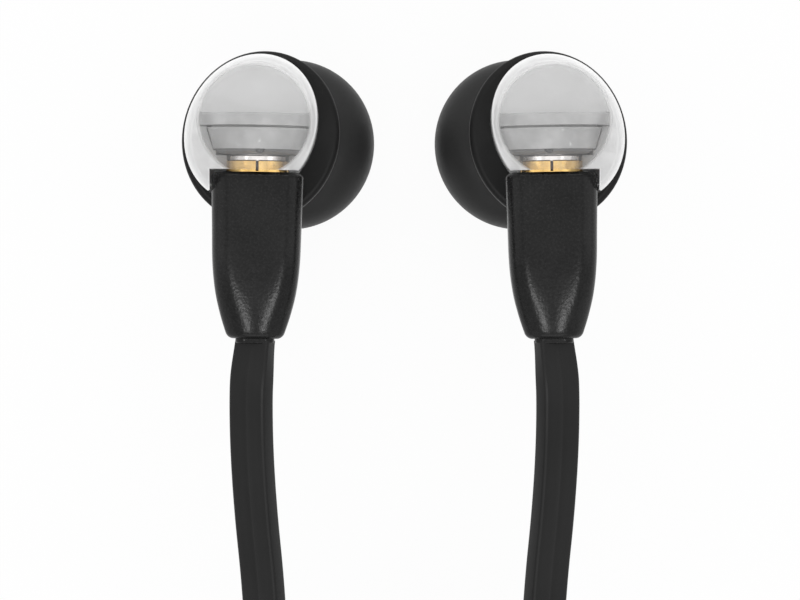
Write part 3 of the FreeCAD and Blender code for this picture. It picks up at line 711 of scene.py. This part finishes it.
def ribbon_section():
    """The flat cable's outline: (across the width, out of the wide face), with round corners and
    a shallow groove down each wide face."""
    half_width = ribbon_width / 2
    half_thick = ribbon_thickness / 2
    quarter = []
    for x in [groove_half * share for share in groove_points] + [half_width * face_point_share]:
        quarter.append((x, half_thick - groove_depth * (1 - ease(x / groove_half))))
    corner_x = half_width - ribbon_corner
    corner_z = half_thick - ribbon_corner
    for angle in quarter_turn(ribbon_corner_steps):
        round_x = corner_x + ribbon_corner * math.sin(angle)
        quarter.append((round_x, corner_z + ribbon_corner * math.cos(angle)))
    quarter.append((half_width, 0.0))
    half = quarter + [(x, -z) for x, z in quarter[-2::-1]]
    return half + [(-x, z) for x, z in half[-2:0:-1]]


def sweep_ribbon(name, line, roll_at, hand, neck):
    """The mesh of the flat cable along a line. roll_at gives how far its wide face is turned from
    facing up, at a distance along the line, hand is 1 to turn it right of the way on and -1 left,
    and neck draws its first stretch in, as it leaves the boot."""
    section = ribbon_section()
    shape = bmesh.new()
    along = shape.verts.layers.float_vector.new("along")
    rings = []
    up = Vector((0, 0, 1))
    if neck:
        line = [line[0] + (line[0] - line[1]).normalized() * neck_sunk] + line
    for place, way, run in followed(line):
        face = (up - way * up.dot(way)).normalized()
        side = way.cross(face) * hand
        roll = math.radians(roll_at(run))
        normal = face * math.cos(roll) + side * math.sin(roll)
        width_way = way.cross(normal)
        share = 1 - (1 - neck_share) * (1 - ease(run / neck_run)) if neck else 1
        ring = []
        for across, out in section:
            vertex = shape.verts.new(place + width_way * across * share + normal * out)
            vertex[along] = (run, across, out)
            ring.append(vertex)
        rings.append(ring)
    close_tube(shape, rings)
    return mesh_of(name, shape, 50)


def evenly(points, step):
    """Points a step apart along a line of points."""
    line = [Vector(points[0])]
    for point in points[1:]:
        goal = Vector(point)
        start = line[-1]
        count = max(round((goal - start).length / step), 1)
        line += [start.lerp(goal, i / count) for i in range(1, count + 1)]
    return line


def strap_path(low, high, top):
    """The strap's middle line round a bundle, as (outward, up) in millimetres: it starts on top,
    goes once round and laps over its own start."""
    half = strap_thickness / 2
    near = low + half
    far = high - half
    under = half
    over = top - half
    lap = over + strap_thickness + strap_lap_gap
    start = (near + strap_bend, over)
    end = (near + (far - near) * strap_lap_share, lap)
    path = [start]
    path += rounded((far, over), start, (far, under), strap_bend)
    path += rounded((far, under), (far, over), (near, under), strap_bend)
    path += rounded((near, under), (far, under), (near, lap), strap_bend)
    path += rounded((near, lap), (near, under), end, strap_bend)
    return path + [end]


def strap_section(width):
    """The strap's outline across its width, with a hem down each edge."""
    half = width / 2
    thick = strap_thickness / 2
    rise = thick - strap_hem_rise
    edge = [(half - strap_hem * strap_hem_slope, rise), (half - strap_hem, thick)]
    edge += [(half - strap_edge, thick), (half, thick - strap_edge)]
    side = edge + [(across, -out) for across, out in edge[::-1]]
    return side + [(-across, -out) for across, out in side]


def strap_tube(path, width, spot_at):
    """The strap's closed form along its middle line, its end drawn in to a round tongue."""
    section = strap_section(width)
    whole = measured(path)
    shape = bmesh.new()
    marks = shape.verts.layers.float_vector.new("along")
    rings = []
    for place, way, run in followed(path):
        out = Vector((-way.y, way.x))
        left = min((whole - run) / strap_tongue, 1.0)
        share = strap_tongue_share + (1 - strap_tongue_share) * math.sqrt(1 - (1 - left) ** 2)
        ring = []
        for across, thick in section:
            vertex = shape.verts.new(spot_at(place + out * thick, across * share))
            vertex[marks] = (run * mm, across * mm, thick * mm)
            ring.append(vertex)
        rings.append(ring)
    close_tube(shape, rings)
    return shape


def stitch_lines(end, width, spot_at):
    """A mesh of two edges across the strap's lapped end, which the stitches follow."""
    ends = []
    for inset in stitch_rows:
        for hand in (-1, 1):
            place = Vector((end.x - inset, end.y + strap_thickness / 2 - strap_hem_rise))
            ends.append(spot_at(place, (width / 2 - stitch_inset) * hand))
    rows = bpy.data.meshes.new("rows")
    rows.from_pydata(ends, [(0, 1), (2, 3)], [])
    return rows


def make_strap(group, node, coil, angle_deg):
    """A hemmed woven strap round a coil, its lap sewn down."""
    centre = Vector((0, legs_coil_y if coil == "legs" else main_coil_y, 0))
    angle = math.radians(angle_deg)
    outward = Vector((math.cos(angle), math.sin(angle), 0))
    onward = Vector((-math.sin(angle), math.cos(angle), 0))
    reach = [(vertex.co - centre) / mm for vertex in nodes[node].data.vertices]
    outs = [arm.dot(outward) for arm in reach]
    ons = [arm.dot(onward) for arm in reach]
    width = max(ons) - min(ons)
    path = strap_path(min(outs), max(outs), max(arm.z for arm in reach))
    path = evenly([Vector(place) for place in path], strap_step)

    def spot_at(place, across):
        """Where a place of the middle line's plane lies, in metres, that far across the strap."""
        flat = centre + (outward * place.x + onward * across) * mm
        return flat + Vector((0, 0, place.y * mm))

    values = {
        "Pitch": stitch_pitch * mm,
        "Length": stitch_length * mm,
        "Thickness": stitch_thickness * mm,
        "Material": finishes["tie_black"],
    }
    shape = strap_tube(path, width, spot_at)
    sewn = grown(group, "rows_" + coil, values, stitch_lines(path[-1], width, spot_at))
    shape.from_mesh(sewn)
    bpy.data.meshes.remove(sewn)
    mesh = mesh_of("strap_" + coil, shape, 40)
    return add_piece("strap_" + coil, mesh, "tie_black", "cable", node)


def join_rings(shape, rings):
    """Faces between each ring of points and the next."""
    for one, two in zip(rings, rings[1:]):
        for k in range(len(one)):
            after = (k + 1) % len(one)
            shape.faces.new((one[k], one[after], two[after], two[k]))


def close_tube(shape, rings):
    """Joins rings of points into a tube with closed ends."""
    join_rings(shape, rings)
    shape.faces.new(rings[0][::-1])
    shape.faces.new(rings[-1])


def leg_roll(run):
    """How far a leg's wide face is turned from the viewer at a distance along it, in degrees."""
    roll = exit_roll + (view_roll - exit_roll) * ease(run / view_roll_from)
    turned = ease((run - turn_over_from) / (turn_over_to - turn_over_from))
    return roll + (edge_roll - view_roll) * turned


def on_edge(run):
    """The same of the main cable, which stands on edge all along."""
    return edge_roll


def measured(line):
    """The length of a line of points."""
    return sum((b - a).length for a, b in zip(line, line[1:]))


def make_cables():
    """The two legs and the main cable."""
    group = stitch_tree()
    straps = {node: make_strap(group, node, *place) for node, place in strap_places.items()}
    pair_pitch = 2 * legs_turn_pitch
    legs = (
        ("left", left_leg_route, legs_turn_pitch, 0.0, 1, [straps["tie_legs"]]),
        ("right", right_leg_route, 0.0, right_more_turns, -1, []),
    )
    for side, route, extra, more_turns, hand, others in legs:
        radius = legs_coil_exit_radius + extra
        coil = coil_points(
            legs_coil_y, math.pi, radius, pair_pitch, legs_coil_turns + more_turns,
            legs_coil_turns, legs_dip, False,
        )
        tail = straight_run(-radius, legs_coil_y, splitter_high.y)[1:]
        line = smooth_line(list(route) + coil + tail)
        name = "cable_leg_" + side
        cable = add_piece(
            name, sweep_ribbon(name, line, leg_roll, hand, True), "cable_black", "cable",
            "leg_" + side, "leg_coil_" + side, "leg_tail_" + side,
        )
        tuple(route[0])
        measured(line)
        [nodes["splitter"]] + others
    lead = straight_run(-main_coil_start_radius, splitter_low.y, main_coil_y)[:-1]
    exit_radius = main_coil_start_radius - turn_pitch * (main_turns_in - main_turns_out)
    coil = coil_points(
        main_coil_y, math.radians(main_exit_deg), exit_radius, turn_pitch, main_turns_in,
        main_turns_out, main_dip, True,
    )
    line = smooth_line(lead + coil + list(main_tail_route))
    mesh = sweep_ribbon("cable_main", line, on_edge, 1, False)
    stood_for = ("main_lead", "main_coil", "main_tail")
    cable = add_piece("cable_main", mesh, "cable_black", "cable", *stood_for)
    plug_names = ("plug_relief", "plug_cover", "plug_sleeve", "plug_ring", "plug_tip", "plug_insulator")
    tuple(lead[0])
    measured(line)
    [nodes[name] for name in plug_names] + [straps["tie_main"]]


def at_stem(point, side):
    """A point of an earphone's own frame, in millimetres, set on the table in metres."""
    lean = math.radians(stem_lean_deg)
    x, y, z = point
    turned_x = x * math.cos(lean) + y * math.sin(lean) - side_spacing_half / mm
    turned_y = y * math.cos(lean) - x * math.sin(lean) + stem_y / mm
    sign = 1 if side == "left" else -1
    return Vector((turned_x * sign, turned_y, z + stem_z / mm)) * mm


def nozzle_axis(side):
    """Where the nozzle's axis starts, its way, and two directions square to it."""
    lean = math.radians(nozzle_lean_deg)
    swing = math.radians(nozzle_swing_deg)
    way = (math.sin(lean) * math.cos(swing), math.sin(lean) * math.sin(swing), -math.cos(lean))
    root = at_stem(nozzle_root, side)
    along = (at_stem([a + b for a, b in zip(nozzle_root, way)], side) - root).normalized()
    first = along.cross(Vector((0, 1, 0))).normalized()
    return root, along, first, along.cross(first)


def stem_axis(side):
    """The same of the stem's axis, from the middle of the earphone's own frame."""
    root = at_stem((0, 0, 0), side)
    along = (at_stem((0, 1, 0), side) - root).normalized()
    first = along.cross(Vector((0, 0, 1))).normalized()
    return root, along, first, along.cross(first)


def arc_between(widest, widest_at, radius, at, count):
    """Points of the arc that starts straight along the axis at its widest."""
    rise = at - widest_at
    centre = (widest ** 2 - radius ** 2 - rise ** 2) / (2 * (widest - radius))
    size = widest - centre
    whole = math.atan2(rise, radius - centre)
    angles = [whole * i / count for i in range(count + 1)]
    return [(centre + size * math.cos(a), widest_at + size * math.sin(a)) for a in angles]


def rounded(corner, before, after, radius):
    """A corner of an outline with an arc in its place."""
    here = Vector(corner)
    back = (Vector(before) - here).normalized()
    on = (Vector(after) - here).normalized()
    half = back.angle(on) / 2
    reach = radius / math.tan(half)
    middle = here + (back + on).normalized() * (radius / math.sin(half))
    first = here + back * reach - middle
    last = here + on * reach - middle
    turn = first.angle_signed(last)
    places = []
    for i in range(bend_steps + 1):
        spun = first.copy()
        spun.rotate(Matrix.Rotation(-turn * i / bend_steps, 2))
        places.append(tuple(middle + spun))
    return places


def lathe(name, outline, axis, segments=lathe_segments):
    """A closed outline of (radius, along), in millimetres, turned about an axis."""
    root, along, first, second = axis
    shape = bmesh.new()
    rings = []
    for i in range(segments):
        angle = 2 * math.pi * i / segments
        outward = first * math.cos(angle) + second * math.sin(angle)
        rings.append([shape.verts.new(root + (outward * r + along * a) * mm) for r, a in outline])
    join_rings(shape, rings + rings[:1])
    bmesh.ops.remove_doubles(shape, verts=shape.verts, dist=merge_distance)
    return mesh_of(name, shape, 30)


def tip_outline():
    """The ear tip's wall: a bulb turned back over its core tube."""
    outer_back = arc_between(tip_radius, tip_widest, tip_back_radius, tip_back, tip_back_steps)
    outer_front = arc_between(tip_radius, tip_widest, tip_front_radius, tip_front, tip_front_steps)
    inner = tip_radius - tip_wall
    inner_back = arc_between(inner, tip_widest, tip_back_radius - tip_wall, tip_back, tip_back_steps)
    inner_front = arc_between(inner, tip_widest, tip_core, tip_web, tip_back_steps)
    outline = outer_back[:0:-1] + outer_front
    outline = rounded(outline[0], inner_back[-1], outline[1], tip_lip_edge) + outline[1:]
    outline = outline[:-1] + rounded(outline[-1], outline[-2], (0, tip_front), tip_front_edge)
    mouth = (tip_sound_hole, tip_front)
    outline += rounded(mouth, (tip_front_radius, tip_front), (tip_sound_hole, tip_stop), tip_hole_edge)
    outline += [(tip_sound_hole, tip_stop), (tip_bore, tip_stop), (tip_bore, tip_core_start)]
    outline += [(tip_core, tip_core_start)]
    outline += inner_front[::-1] + inner_back[1:-1]
    outline += rounded(inner_back[-1], inner_back[-2], outer_back[-1], tip_lip_edge)
    return outline


def make_ear_tips():
    """The silicone ear tips."""
    for side in sides:
        name = "silicone_tip_" + side
        mesh = lathe(name, tip_outline(), nozzle_axis(side))
        add_piece(name, mesh, "tip_silicone", "tip_" + side, "ear_tip_" + side)


def boot_size(at):
    """The boot's width and depth at a distance from its top, on a smooth line through its sizes."""
    last = len(boot_stations) - 2
    k = min(sum(at > station[0] for station in boot_stations[1:-1]), last)
    before, here, after, beyond = (
        Vector(boot_stations[min(max(k + step, 0), last + 1)]) for step in (-1, 0, 1, 2)
    )
    gap = after.x - here.x
    start_way = (after - before) / (after.x - before.x) * gap
    end_way = (beyond - here) / (beyond.x - here.x) * gap
    t = (at - here.x) / gap
    size = here * (2 * t ** 3 - 3 * t ** 2 + 1) + start_way * (t ** 3 - 2 * t ** 2 + t)
    size += after * (3 * t ** 2 - 2 * t ** 3) + end_way * (t ** 3 - t ** 2)
    return size.y, size.z


def boot_section(width, depth, inset, crown):
    """A rounded rectangle, drawn in by an inset, whose broad faces are crowned."""
    half_width = width / 2 - inset
    half_depth = depth / 2 - inset
    corner = boot_corner_share * depth - inset
    arcs = []
    for a, b, start in ((1, 1, 0), (-1, 1, 90), (-1, -1, 180), (1, -1, 270)):
        middle = Vector((a * (half_width - corner), b * (half_depth - corner)))
        angles = [math.radians(start) + angle for angle in quarter_turn(boot_corner_steps)]
        arcs.append([middle + Vector((math.cos(t), math.sin(t))) * corner for t in angles])
    points = []
    for arc, following in zip(arcs, arcs[1:] + arcs[:1]):
        points += arc
        points += [arc[-1].lerp(following[0], i / boot_flat_steps) for i in range(1, boot_flat_steps)]
    return [(x, z * (1 - crown * (x / half_width) ** 2)) for x, z in points]


def boot_rings():
    """Rings of (x, y, z) from the pocket's floor up, over the top edge and down to the lip."""
    width, depth = boot_size(0.0)
    rings = []
    top = [Vector(point).normalized() for point in boot_section(width, depth, boot_top_edge, 0.0)]
    for low in (boot_pocket_depth, 0.0):
        floor = [way * boot_pocket_radius for way in top]
        rings.append([(spot.x, boot_top - low, spot.y) for spot in floor])
    bends = quarter_turn(boot_edge_steps)
    length = boot_stations[-1][0]
    straight = length - boot_top_edge - boot_end_edge
    stops = [(boot_top_edge * (1 - math.cos(t)), boot_top_edge * (1 - math.sin(t))) for t in bends]
    for i in range(1, boot_length_steps):
        stops.append((boot_top_edge + straight * i / boot_length_steps, 0.0))
    for t in bends:
        drop = boot_end_edge * (1 - math.sin(t))
        stops.append((length - drop, boot_end_edge * (1 - math.cos(t))))
    for at, inset in stops:
        width, depth = boot_size(at)
        crown = boot_crown * ease((at - boot_crown_from) / (length - boot_crown_from))
        rings.append([(x, boot_top - at, z) for x, z in boot_section(width, depth, inset, crown)])
    lip_side = boot_lip_length - boot_lip_edge
    for low, inset in ((0.0, 0.0), (lip_side, 0.0), (boot_lip_length, boot_lip_edge)):
        section = boot_section(boot_lip_width, boot_lip_depth, inset, 0.0)
        rings.append([(x, boot_top - length - low, z) for x, z in section])
    return rings


def make_boots():
    """The boots, from the pocket round the connector down to the lip round the cable."""
    for side in sides:
        name = "moulded_boot_" + side
        shape = bmesh.new()
        rings = [[shape.verts.new(at_stem(point, side)) for point in ring] for ring in boot_rings()]
        close_tube(shape, rings)
        add_piece(name, mesh_of(name, shape, 50), "boot_black", "cable", "boot_" + side)


def make_gaskets():
    """The gasket under each socket, whose lower face is crowned, with a dark stud at its front."""
    outline = [(gasket_bore, gasket_top), (gasket_radius, gasket_top)]
    for angle in quarter_turn(gasket_steps):
        radius = gasket_bore + (gasket_radius - gasket_bore) * math.cos(angle)
        outline.append((radius, gasket_rim_low + (gasket_low - gasket_rim_low) * math.sin(angle)))
    bends = quarter_turn(stud_steps)
    stud = [(stud_radius * math.sin(t), stud_reach + stud_edge * (math.cos(t) - 1)) for t in bends]
    stud += [(stud_radius, 0.0), (0.0, 0.0)]
    for side in sides:
        name = "crowned_gasket_" + side
        mesh = lathe(name, outline, stem_axis(side))
        add_piece(name, mesh, "gasket_rubber", "earpiece_" + side, "socket_gasket_" + side)
        name = "contact_stud_" + side
        axis = (at_stem(stud_at, side), Vector((0, 0, 1)), Vector((1, 0, 0)), Vector((0, 1, 0)))
        mesh = lathe(name, stud, axis, stud_segments)
        add_piece(name, mesh, "ring_black", "earpiece_" + side)


def new_tree(name, sizes):
    """A geometry tree with a shape, a finish and named sizes as its inputs."""
    group = bpy.data.node_groups.new(name, "GeometryNodeTree")
    group.interface.new_socket("Geometry", in_out="OUTPUT", socket_type="NodeSocketGeometry")
    group.interface.new_socket("Geometry", in_out="INPUT", socket_type="NodeSocketGeometry")
    group.interface.new_socket("Material", in_out="INPUT", socket_type="NodeSocketMaterial")
    for size in sizes:
        group.interface.new_socket(size, in_out="INPUT", socket_type="NodeSocketFloat")
    net = Net(group)
    start = group.nodes.new("NodeGroupInput")
    return group, net, [Wire(net, output) for output in start.outputs[:-1]]


def end_tree(net, whole, material):
    """Ends a tree in plain geometry with its finish."""
    whole = net.add("GeometryNodeRealizeInstances", {"Geometry": whole})
    whole = net.add("GeometryNodeSetMaterial", {"Geometry": whole, "Material": material})
    end = net.tree.nodes.new("NodeGroupOutput")
    net.tree.links.new(whole.socket, end.inputs[0])


def screen_tree():
    """Geometry nodes that weave round wires over and under each other inside a circle."""
    group, net, inputs = new_tree("woven_screen", ("Radius", "Pitch", "Wire"))
    material, radius, pitch, wire = inputs[1:]
    count = net.math("FLOOR", radius / pitch)
    ends = {"Start": net.vector(0.0 - radius), "End": net.vector(radius)}
    line = net.add("GeometryNodeCurvePrimitiveLine", ends)
    point_count = count * points_per_wire_pitch + 1
    line = net.add("GeometryNodeResampleCurve", {"Curve": line, "Count": point_count})
    row = {
        "Count": count * 2 + 1,
        "Start Location": net.vector(y=0.0 - count * pitch),
        "Offset": net.vector(y=pitch),
    }
    points = net.add("GeometryNodeMeshLine", row)
    wires = net.add("GeometryNodeInstanceOnPoints", {"Points": points, "Instance": line})
    wires = net.add("GeometryNodeRealizeInstances", {"Geometry": wires})
    x, y = net.parts_of(net.add("GeometryNodeInputPosition"))[:2]
    over = net.math("COSINE", x / pitch * math.pi) * net.math("COSINE", y / pitch * math.pi)
    lift = net.vector(z=over * wire * screen_lift)
    wires = net.add("GeometryNodeSetPosition", {"Geometry": wires, "Offset": lift})
    outside = net.math("GREATER_THAN", x * x + y * y, radius * radius)
    cut = {"Geometry": wires, "Selection": outside}
    wires = net.add("GeometryNodeDeleteGeometry", cut, domain="POINT")
    profile = {"Resolution": wire_sides, "Radius": wire}
    profile = net.add("GeometryNodeCurvePrimitiveCircle", profile)
    drawn = {"Curve": wires, "Profile Curve": profile, "Fill Caps": True}
    one_way = net.add("GeometryNodeCurveToMesh", drawn)
    turned = {"Geometry": one_way, "Rotation": (math.pi, 0.0, math.pi / 2)}
    other_way = net.add("GeometryNodeTransform", turned)
    both = group.nodes.new("GeometryNodeJoinGeometry")
    group.links.new(one_way.socket, both.inputs[0])
    group.links.new(other_way.socket, both.inputs[0])
    end_tree(net, Wire(net, both.outputs[0]), material)
    return group


def stitch_tree():
    """Geometry nodes that set rounded stitches one after another along a mesh's edges."""
    group, net, inputs = new_tree("stitch_rows", ("Pitch", "Length", "Thickness"))
    shape, material, pitch, length, thickness = inputs
    rows = net.add("GeometryNodeMeshToCurve", {"Mesh": shape})
    rows = net.add("GeometryNodeResampleCurve", {"Curve": rows, "Length": pitch}, mode="LENGTH")
    tangent = net.add("GeometryNodeInputTangent")
    turn = net.add("FunctionNodeAlignRotationToVector", {"Vector": tangent}, axis="X")
    thread = net.add("GeometryNodeMeshIcoSphere", {"Radius": 0.5, "Subdivisions": 2})
    size = net.vector(length, thickness, thickness)
    values = {"Points": rows, "Instance": thread, "Rotation": turn, "Scale": size}
    stitches = net.add("GeometryNodeInstanceOnPoints", values)
    end_tree(net, stitches, material)
    return group


def grown(group, name, values, base=None):
    """The plain mesh that a geometry tree makes from its inputs."""
    carrier = in_scene(name, base or bpy.data.meshes.new(name))
    modifier = carrier.modifiers.new("tree", "NODES")
    modifier.node_group = group
    for item in group.interface.items_tree:
        if item.in_out == "INPUT" and item.name in values:
            modifier[item.identifier] = values[item.name]
    graph = bpy.context.evaluated_depsgraph_get()
    mesh = bpy.data.meshes.new_from_object(carrier.evaluated_get(graph))
    carrier.modifiers.clear()
    bpy.data.objects.remove(carrier)
    return mesh


def make_screens():
    """The woven screen and its rim in each nozzle's end."""
    group = screen_tree()
    values = {
        "Radius": (screen_radius - screen_rim / 2) * mm,
        "Pitch": screen_pitch * mm,
        "Wire": screen_wire * mm,
        "Material": finishes["steel_mesh"],
    }
    low = nozzle_end - screen_depth
    middle = nozzle_end - screen_depth / 2
    inner = screen_radius - screen_rim
    corners = ((inner, low), (screen_radius, low), (screen_radius, nozzle_end), (inner, nozzle_end))
    outline = []
    for i, corner in enumerate(corners):
        outline += rounded(corner, corners[i - 1], corners[(i + 1) % len(corners)], screen_edge)
    for side in sides:
        name = "nozzle_screen_" + side
        woven = grown(group, name, values)
        root, way, first, second = nozzle_axis(side)
        turn = Matrix((first, second, way)).transposed().to_4x4()
        woven.transform(Matrix.Translation(root + way * middle * mm) @ turn)
        rim = lathe(name + "_rim", outline, nozzle_axis(side), rim_segments)
        shape = bmesh.new()
        for made in (woven, rim):
            shape.from_mesh(made)
            bpy.data.meshes.remove(made)
        mesh = mesh_of(name, shape, 40)
        add_piece(name, mesh, "steel_mesh", "earpiece_" + side, "nozzle_mesh_" + side)


def white_share(net):
    """1 for the rays that see white: the viewer's own, and those from metal and glass."""
    rays = net.tree.nodes.new("ShaderNodeLightPath").outputs
    seen = Wire(net, rays["Is Camera Ray"]) + Wire(net, rays["Is Glossy Ray"])
    return net.math("MINIMUM", seen + Wire(net, rays["Is Transmission Ray"]), 1.0)


def make_stage():
    """A white table, which keeps a soft shadow and shows white to the viewer, metal and glass."""
    finish = Finish("white_table")
    share = white_share(finish) * table_glow
    paper = finish.add("ShaderNodeBsdfDiffuse", {"Color": grey(0.92)})
    glow = finish.add("ShaderNodeEmission", {"Color": grey(1.0), "Strength": 1.0})
    finish.output(finish.blend(share, paper, glow))
    shape = bmesh.new()
    bmesh.ops.create_circle(shape, cap_ends=True, radius=table_radius, segments=table_segments)
    mesh = bpy.data.meshes.new("table")
    shape.to_mesh(mesh)
    shape.free()
    mesh.transform(Matrix.Translation((0, 0, -table_drop)))
    dress(mesh, finish.material)
    in_scene("table", mesh)


def make_world():
    """Even light from all round, white to the viewer, metal and glass."""
    world = bpy.data.worlds.new("studio")
    world.use_nodes = True
    net = Net(world.node_tree)
    net.tree.nodes.clear()
    soft = net.add("ShaderNodeBackground", {"Color": grey(1.0), "Strength": soft_light})
    white = net.add("ShaderNodeBackground", {"Color": grey(1.0), "Strength": 1.0})
    both = net.blend(white_share(net), soft, white)
    end = net.tree.nodes.new("ShaderNodeOutputWorld")
    net.tree.links.new(both.socket, end.inputs["Surface"])
    bpy.context.scene.world = world


def make_lamps():
    """Soft boxes, and two small lamps for the boots' highlights."""
    for name, (place, width, height, power, glint_only) in lamps.items():
        light = bpy.data.lights.new(name, "AREA")
        light.shape = "RECTANGLE"
        light.size = width
        light.size_y = height
        light.energy = power
        made = in_scene(name, light)
        facing = (Vector(lamp_aim) - Vector(place)).to_track_quat("-Z", "Y")
        made.matrix_world = Matrix.Translation(place) @ facing.to_matrix().to_4x4()
        made.visible_diffuse = not glint_only


def make_camera():
    """Straight down on the shells, at the picture's scale."""
    camera = bpy.data.cameras.new("camera")
    camera.sensor_width = sensor_width
    seen_width = picture_width / pixels_per_mm * mm
    camera.lens = camera_distance * sensor_width / seen_width
    camera.clip_start = 0.01
    camera.clip_end = 20.0
    made = in_scene("camera", camera)
    pixel = mm / pixels_per_mm
    x = (picture_width / 2 - middle_pixel[0]) * pixel
    y = stem_y - (picture_height / 2 - middle_pixel[1]) * pixel
    made.location = (x, y, stem_z + camera_distance)
    bpy.context.scene.camera = made


make_camera()
make_cables()
make_ear_tips()
make_boots()
make_gaskets()
make_screens()
dress_nodes()
make_stage()
make_world()
make_lamps()

view = bpy.context.scene.view_settings
view.view_transform = "Standard"
